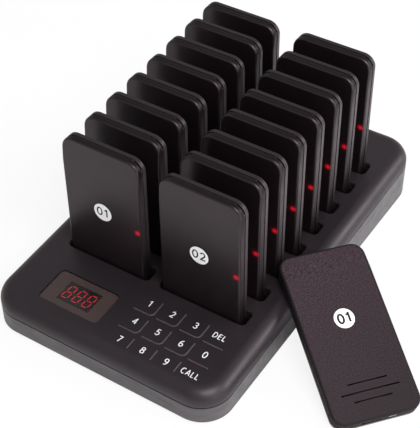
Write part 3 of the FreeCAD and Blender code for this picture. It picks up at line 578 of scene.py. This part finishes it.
def disc(name, r, t, look, sides=64):
    """Thin round label, its rim softened; it lies on the plane y = 0 with its face to -Y."""
    bm = bmesh.new()
    rings = []
    for radius, depth in ((r, 0.0), (r, -t * 0.6), (r - t * 0.6, -t)):
        ring = []
        for i in range(sides):
            a = 2 * math.pi * i / sides
            ring.append(bm.verts.new((radius * math.cos(a), depth, radius * math.sin(a))))
        rings.append(ring)
    for a, b in zip(rings, rings[1:]):
        for i in range(sides):
            bm.faces.new((a[i - 1], a[i], b[i], b[i - 1]))
    bm.faces.new(rings[-1])
    bm.faces.new(list(reversed(rings[0])))
    return closed_mesh(bm, name, look)


def arc(cx, cy, rx, ry, start, end, steps=14):
    """Points along an ellipse's arc; angles in degrees from +X, anticlockwise."""
    points = []
    for i in range(steps + 1):
        a = math.radians(start + (end - start) * i / steps)
        points.append((cx + rx * math.cos(a), cy + ry * math.sin(a)))
    return points


# Plain stroke lettering on a grid one unit tall: glyph width and its strokes.
GLYPHS = {
    "0": (0.56, [arc(0.28, 0.5, 0.25, 0.46, 0, 360, 28)]),
    "1": (0.40, [[(0.06, 0.78), (0.27, 0.96), (0.27, 0.04)]]),
    "2": (0.54, [arc(0.26, 0.70, 0.22, 0.25, 165, -32) + [(0.05, 0.05), (0.52, 0.05)]]),
    "3": (0.54, [arc(0.24, 0.73, 0.21, 0.22, 150, -90) + arc(0.24, 0.28, 0.24, 0.23, 90, -150)]),
    "4": (0.58, [[(0.43, 0.04), (0.43, 0.95), (0.05, 0.30), (0.56, 0.30)]]),
    "5": (0.54, [[(0.47, 0.94), (0.12, 0.94), (0.09, 0.53)]
                 + arc(0.24, 0.32, 0.24, 0.27, 115, -145)]),
    "6": (0.56, [arc(0.42, 0.40, 0.36, 0.55, 85, 175, 10)
                 + arc(0.29, 0.30, 0.23, 0.25, 180, 540, 24)]),
    "7": (0.52, [[(0.04, 0.94), (0.48, 0.94), (0.18, 0.04)]]),
    "8": (0.56, [arc(0.28, 0.73, 0.20, 0.21, -90, 270, 24),
                 arc(0.28, 0.28, 0.24, 0.24, 90, 450, 24)]),
    "9": (0.56, [arc(0.14, 0.60, 0.36, 0.55, -95, -5, 10)
                 + arc(0.27, 0.70, 0.23, 0.25, 0, 360, 24)]),
    "A": (0.64, [[(0.03, 0.04), (0.32, 0.95), (0.61, 0.04)], [(0.13, 0.32), (0.51, 0.32)]]),
    "C": (0.60, [arc(0.36, 0.5, 0.31, 0.46, 52, 308, 22)]),
    "D": (0.64, [[(0.07, 0.95), (0.07, 0.05), (0.22, 0.05)] + arc(0.22, 0.5, 0.37, 0.45, -90, 90)
                 + [(0.07, 0.95)]]),
    "E": (0.52, [[(0.48, 0.95), (0.07, 0.95), (0.07, 0.05), (0.48, 0.05)],
                 [(0.07, 0.52), (0.44, 0.52)]]),
    "L": (0.50, [[(0.07, 0.95), (0.07, 0.05), (0.47, 0.05)]]),
}


SAME = 0.001                           # glyph points nearer than this are one
LOOP_POINTS = 20                       # a longer run that ends where it began is a closed loop
SHARP = math.radians(40)
INK_T, INK_LIFT = 0.00004, 0.00002     # thickness of print, and its gap to what it is printed on


def smooth_runs(stroke, overlap):
    """The stroke cut at its sharp corners, where one ribbon would pinch; cut ends overlap."""
    points = [Vector(stroke[0])]
    points += [Vector(b) for a, b in zip(stroke, stroke[1:]) if math.dist(a, b) > SAME]
    runs, run = [], points[:1]
    for before, here, after in zip(points, points[1:], points[2:]):
        into, onward = (here - before).normalized(), (after - here).normalized()
        if into.angle(onward) < SHARP:
            run.append(here)
        else:
            runs.append(run + [here + into * overlap])
            run = [here - onward * overlap]
    return runs + [run + points[-1:]]


def lettering(name, words, height, pen, look, gap, wide=1.0):
    """Stroked characters as flat raised ribbons in the XY plane, centred on the origin."""
    width = sum(GLYPHS[c][0] for c in words) + gap * (len(words) - 1)
    curve = bpy.data.curves.new(name, "CURVE")
    curve.dimensions = "3D"
    curve.bevel_mode = "ROUND"
    curve.bevel_depth = pen / 2
    curve.bevel_resolution = 2
    curve.use_fill_caps = True
    x = -width / 2
    for c in words:
        for stroke in GLYPHS[c][1]:
            for run in smooth_runs(stroke, 0.4 * pen / height):
                closed = math.dist(run[0], run[-1]) < SAME and len(run) > LOOP_POINTS
                points = run[:-1] if closed else run
                spline = curve.splines.new("POLY")
                spline.points.add(len(points) - 1)
                for point, (a, b) in zip(spline.points, points):
                    point.co = ((x + a) * height * wide, (b - 0.5) * height, 0, 1)
                spline.use_cyclic_u = closed
        x += GLYPHS[c][0] + gap
    loose = bpy.data.objects.new(name, curve)
    mesh = bpy.data.meshes.new_from_object(loose)
    bpy.data.objects.remove(loose)
    for v in mesh.vertices:
        v.co.z = max(v.co.z, 0.0) * INK_T / (pen / 2)
    mesh.materials.clear()
    mesh.materials.append(MATERIALS[look])
    return mesh


LABEL_R, LABEL_T = 0.0063, 0.00015
LABEL_Z = 0.0625                       # its middle, above the pager's bottom
LABEL_LIFT = 0.00002
NUMBER_GAP, NUMBER_WIDE = 0.24, 1.10   # between its digits, and their stretch across
SOFT_EDGE = {"front": 0.00045, "back": 0.00035}
label_mesh = disc("label", LABEL_R, LABEL_T, "sticker")
UPRIGHT = Matrix.Rotation(math.radians(90), 4, "X")


def dress_pager(body, number, meshes, place, size, pen, rise):
    """Soft-edged shells, round number label and its digits, set a little above its middle."""
    for part, mesh in meshes.items():
        skin = add_object("%s_%s_skin" % (body, part), mesh, place, body)
        soften(skin, SOFT_EDGE[part])
        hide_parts("%s_%s_shell" % (body, part))
    spot = place @ Matrix.Translation((0, -LABEL_LIFT, LABEL_Z))
    label = add_object(body + "_label", label_mesh, spot, body)
    digits = lettering(body + "_digits", number, size, pen, "ink", NUMBER_GAP, NUMBER_WIDE)
    print_place = spot @ Matrix.Translation((0, -LABEL_T - INK_LIFT, rise)) @ UPRIGHT
    add_object(body + "_number", digits, print_place, body, parent=label)


docked_place = pager_frame("pager_01")
docked_meshes = {
    "front": welded("pager_01_front_shell", docked_place, "pager_front", "pager_front",
                    "wall_front"),
    "back": welded("pager_01_back_shell", docked_place, "pager_back", "pager_back", "wall_back"),
}
unlit_front = docked_meshes["front"].copy()    # behind pager 01 the photo shows no glow
unlit_front.materials[0] = MATERIALS["pager_back"]
unlit_meshes = {"front": unlit_front, "back": docked_meshes["back"]}
for body in sorted(frame["bodies"]):
    if body.startswith("pager_"):
        place = pager_frame(body)
        unlit = place.translation.x < 0 and body != "pager_01"
        dress_pager(body, body[-2:], unlit_meshes if unlit else docked_meshes, place,
                    size=0.0060, pen=0.00095, rise=0.0004)

loose_place = pager_frame("loose_pager")
loose_meshes = {
    "front": welded("loose_pager_front_shell", loose_place, "loose_front", "loose_front"),
    "back": welded("loose_pager_back_shell", loose_place, "loose_back", "loose_back"),
}
dress_pager("loose_pager", "01", loose_meshes, loose_place,
            size=0.0060, pen=0.0012, rise=0.0)


# ---- keypad and display -----------------------------------------------------------------------
LEGENDS = (("7", "8", "9", "CALL"), ("4", "5", "6", "0"), ("1", "2", "3", "DEL"))
DIGIT_PRINT, WORD_PRINT = (0.0046, 0.00070), (0.0041, 0.00060)    # height and pen
LEGEND_GAP, LEGEND_LIFT = 0.2, 0.00001


def on_deck(x, y, lift):
    """Place square to the sloping deck, lift above its surface."""
    tilt = Matrix.Rotation(DECK_ANGLE, 4, "X")
    z = DECK_Z + math.tan(DECK_ANGLE) * y
    return Matrix.Translation((x, y, z)) @ tilt @ Matrix.Translation((0, 0, lift))


for row, legends in enumerate(LEGENDS):
    for column, legend in enumerate(legends):
        x = KEY_X + KEY_PITCH_X * column
        y = KEY_Y + KEY_PITCH_Y * row
        size, pen = DIGIT_PRINT if len(legend) == 1 else WORD_PRINT
        text = lettering("legend_" + legend, legend, size, pen, "white_print", LEGEND_GAP)
        add_object("legend_" + legend, text, on_deck(x, y, LEGEND_LIFT), "base")


FILM_T, FILM_MARGIN = 0.00005, 0.0002  # the margin is to the lens's edge
FILM_DEPTH = 0.00133                   # its underside below the deck


def display_film():
    """Smoky film under the lens: a rounded sheet with a window for the display module."""
    low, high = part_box("display_window")
    m_low, m_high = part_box("display_module")
    w, l = (high.x - low.x) / 2 - FILM_MARGIN, WINDOW_L / 2 - FILM_MARGIN
    outer = []
    for side, end, start in ((1, -1, -90), (1, 1, 0), (-1, 1, 90), (-1, -1, 180)):
        outer += arc(side * (w - WINDOW_R), end * (l - WINDOW_R), WINDOW_R, WINDOW_R,
                     start, start + 90, 8)
    a, b = (m_high.x - m_low.x) / 2, MODULE_L / 2
    inner = [(a, -b), (a, b), (-a, b), (-a, -b)]
    bm = bmesh.new()
    rings = []
    for z in (0.0, FILM_T):
        rings.append(([bm.verts.new((x, y, z)) for x, y in outer],
                      [bm.verts.new((x, y, z)) for x, y in inner]))
    quarter = len(outer) // 4
    for (ring, hole), flip in zip(rings, (True, False)):
        for i in range(4):
            run = ring[i * quarter:(i + 1) * quarter]
            corner = run + [ring[((i + 1) * quarter) % len(ring)], hole[(i + 1) % 4], hole[i]]
            bm.faces.new(reversed(corner) if flip else corner)
    for loop in (0, 1):
        lower, upper = rings[0][loop], rings[1][loop]
        for i in range(len(lower)):
            bm.faces.new((lower[i - 1], lower[i], upper[i], upper[i - 1]))
    mesh = closed_mesh(bm, "display_film", "film")
    mid = (low + high) / 2
    add_object("display_film", mesh, on_deck(mid.x, mid.y, -FILM_DEPTH), "base")


display_film()


BAR_HALF, BAR_THICK, BAR_H = 0.0019, 0.00030, 0.00008    # half length, half width, height
DIGIT_W, DIGIT_H, DIGIT_PITCH = 0.0043, 0.0049, 0.0075
DIGIT_SLANT = math.radians(9)
BAR_GAP = 0.00005                      # from the lens down to the bars


def segment_mesh():
    """One bar of a seven-segment digit, pointed at both ends, along X."""
    half, thick = BAR_HALF, BAR_THICK
    outline = [(-half, 0), (-half + thick, -thick), (half - thick, -thick), (half, 0),
               (half - thick, thick), (-half + thick, thick)]
    bm = bmesh.new()
    top = [bm.verts.new((a, b, BAR_H)) for a, b in outline]
    foot = [bm.verts.new((a, b, 0)) for a, b in outline]
    bm.faces.new(top)
    bm.faces.new(list(reversed(foot)))
    for i in range(6):
        bm.faces.new((top[i - 1], foot[i - 1], foot[i], top[i]))
    return closed_mesh(bm, "segment", "segment")


def display_digits():
    """Three digits with all seven bars lit, just under the lens."""
    low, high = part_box("display_module")
    mid = (low + high) / 2
    depth = WINDOW_SUNK + WINDOW_T + BAR_GAP
    bar = segment_mesh()
    slant = Matrix.Identity(4)
    slant[0][1] = math.tan(DIGIT_SLANT)
    bars = ((0, 2, 0), (0, 0, 0), (0, -2, 0), (-1, 1, 1), (1, 1, 1), (-1, -1, 1), (1, -1, 1))
    for digit in range(3):
        for i, (x, y, turned) in enumerate(bars):
            spot = Matrix.Translation((x * DIGIT_W / 2, y * DIGIT_H / 2, 0))
            if turned:
                spot = spot @ Matrix.Rotation(math.radians(90), 4, "Z")
            where = on_deck(mid.x + (digit - 1) * DIGIT_PITCH, mid.y, -depth)
            obj = add_object("segment_%d_%d" % (digit, i), bar.copy(), where, "base")
            obj.data.transform(slant @ spot)


display_digits()


# ---- stage and light --------------------------------------------------------------------------
FLOOR_HALF, FLOOR_DROP = 8, 0.0001     # the drop keeps the feet's undersides clear of it
FLOOR_GLOW = 0.85                      # share of plain white that the camera sees in it
WORLD_LEVEL = 0.48                     # light from all round; the camera sees 1, white


def paper_floor():
    """White floor that keeps a soft part of the shadow."""
    mesh = bpy.data.meshes.new("floor")
    bm = bmesh.new()
    bmesh.ops.create_grid(bm, x_segments=1, y_segments=1, size=FLOOR_HALF)
    bm.to_mesh(mesh)
    bm.free()
    n = Nodes("floor_paper")
    n.bsdf.inputs["Base Color"].default_value = (0.92, 0.92, 0.92, 1)
    n.bsdf.inputs["Roughness"].default_value = 0.9
    path = n.add("ShaderNodeLightPath")
    light = n.add("ShaderNodeEmission", Strength=1.0)
    light.inputs["Color"].default_value = (1, 1, 1, 1)
    share = n.ramp(path.outputs["Is Camera Ray"], 0, 1, 0.0, FLOOR_GLOW)
    mix = n.add("ShaderNodeMixShader")
    n.link(share, mix.inputs[0])
    n.link(n.bsdf.outputs[0], mix.inputs[1])
    n.link(light.outputs[0], mix.inputs[2])
    n.link(mix.outputs[0], n.output.inputs["Surface"])
    mesh.materials.append(n.material)
    floor = bpy.data.objects.new("floor", mesh)
    floor.location.z = -FLOOR_DROP
    scene.collection.objects.link(floor)


def white_world():
    """White all round, dimmer as a light than the camera sees it."""
    world = bpy.data.worlds.new("world")
    world.use_nodes = True
    tree = world.node_tree
    shade = tree.nodes["Background"]
    path = tree.nodes.new("ShaderNodeLightPath")
    level = tree.nodes.new("ShaderNodeMapRange")
    level.inputs["To Min"].default_value = WORLD_LEVEL
    level.inputs["To Max"].default_value = 1.0
    tree.links.new(path.outputs["Is Camera Ray"], level.inputs["Value"])
    shade.inputs["Color"].default_value = (1, 1, 1, 1)
    tree.links.new(level.outputs["Result"], shade.inputs["Strength"])
    scene.world = world


def soft_light(name, place, target, size, power):
    """Rectangular lamp at a place, turned to its target."""
    data = bpy.data.lights.new(name, "AREA")
    data.shape = "RECTANGLE"
    data.size, data.size_y = size
    data.energy = power
    light = bpy.data.objects.new(name, data)
    light.matrix_world = Matrix.Translation(place) @ (
        Vector(place) - Vector(target)).to_track_quat("Z", "Y").to_matrix().to_4x4()
    scene.collection.objects.link(light)


paper_floor()
white_world()
soft_light("key", (0.9, -0.6, 1.3), (0, 0, 0.05), (0.8, 0.8), 22)
soft_light("back_right", (1.4, 0.9, 0.7), (0, 0, 0.05), (1.4, 0.7), 20)
soft_light("low_right", (1.0, -0.42, 0.22), (0.08, -0.06, 0.02), (0.5, 0.3), 1.4)
scene.view_settings.view_transform = "Standard"
